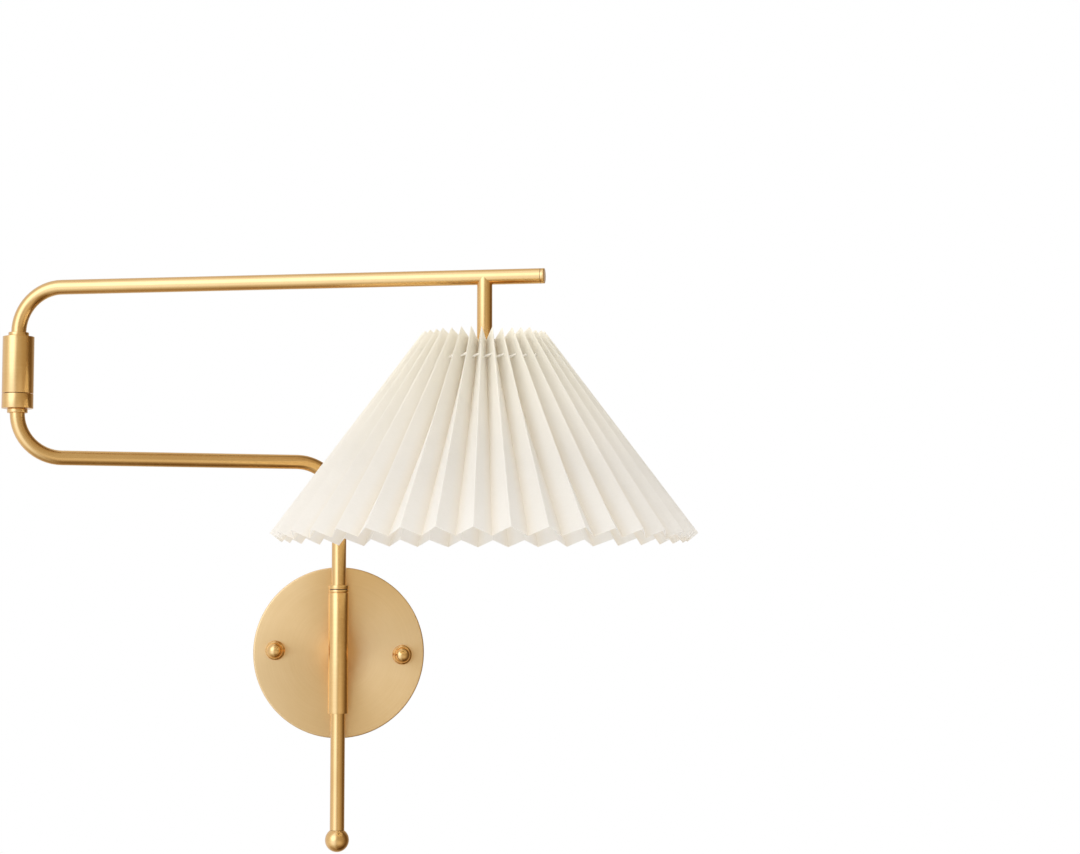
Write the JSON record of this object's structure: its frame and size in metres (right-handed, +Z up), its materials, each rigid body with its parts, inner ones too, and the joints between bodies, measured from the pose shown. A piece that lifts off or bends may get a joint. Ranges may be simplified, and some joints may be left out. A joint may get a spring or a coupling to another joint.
{
  "type": "swing arm wall sconce",
  "caption": "Wall lamp on a jointed brass arm that folds and swings sideways, with a pleated cone shade hung under the arm's free end.",
  "frame": {"origin": "middle of the wall bracket's back face, on the wall", "axes": "+Y into the wall, +Z up along the swivel post, +X to the right of someone who faces the wall"},
  "size_m": [0.4589, 0.2996, 0.3883],
  "materials": {
    "brass": "brushed and lacquered, satin",
    "contact_brass": "plain",
    "plated_steel": "zinc plated",
    "black_nylon": "moulded, matt",
    "black_wire": "smooth insulation",
    "white_wire": "smooth insulation",
    "green_wire": "smooth insulation",
    "clear_lead": "clear flex over copper",
    "white_plastic": "moulded, satin",
    "opal_glass": "opal, smooth",
    "pleated_paper": "white laminated paper, knife pleated, matt",
    "thread": "twisted cotton"
  },
  "bodies": {
    "wall_mount": {"canopy": "brass", "wall_bracket": "plated_steel", "bracket_stud_left": "plated_steel", "bracket_stud_right": "plated_steel", "cap_nut_left": "brass", "cap_nut_right": "brass", "standoff": "brass", "standoff_washer": "plated_steel", "standoff_nut": "plated_steel", "swivel_sleeve": "brass", "sleeve_bush_top": "black_nylon", "sleeve_bush_bottom": "black_nylon", "live_lead": "black_wire", "neutral_lead": "white_wire", "live_connector": "black_nylon", "neutral_connector": "black_nylon", "ground_lead": "green_wire", "ground_screw": "green_wire"},
    "lower_arm": {"lower_tube": "brass", "ball_finial": "brass", "swivel_washer": "black_nylon", "stop_collar": "brass", "lower_lead": "clear_lead", "elbow_lower_collar": "brass", "elbow_ring": "brass", "elbow_thrust_washer": "black_nylon", "elbow_nipple": "plated_steel", "elbow_spring_washer": "plated_steel", "elbow_nut": "plated_steel", "elbow_stop_pin": "plated_steel"},
    "upper_arm": {"elbow_housing": "brass", "elbow_top_plug": "brass", "elbow_upper_collar": "brass", "upper_tube": "brass", "upper_lead": "clear_lead", "arm_end_cap": "brass", "shade_stem": "brass", "stem_lead": "clear_lead", "socket_cap": "brass", "lampholder": "white_plastic", "lampholder_shell": "contact_brass", "lampholder_contact": "contact_brass", "shade_carrier": "brass", "shade_ring_nut": "white_plastic", "bulb_base": "plated_steel", "bulb_glass": "opal_glass", "bulb_core": "white_plastic", "pleated_shade": "pleated_paper", "shade_thread": "thread"}
  },
  "joints": [
    {"name": "wall_swivel", "type": "hinge", "parent": "wall_mount", "child": "lower_arm", "pos_m": [0, -0.046, 0], "axis": [0, 0, 1], "range_deg": [-11, 169]},
    {"name": "elbow_swivel", "type": "hinge", "parent": "lower_arm", "child": "upper_arm", "pos_m": [-0.21596, -0.08798, 0.1753], "axis": [0, 0, 1], "range_deg": [-311, 1]}
  ]
}
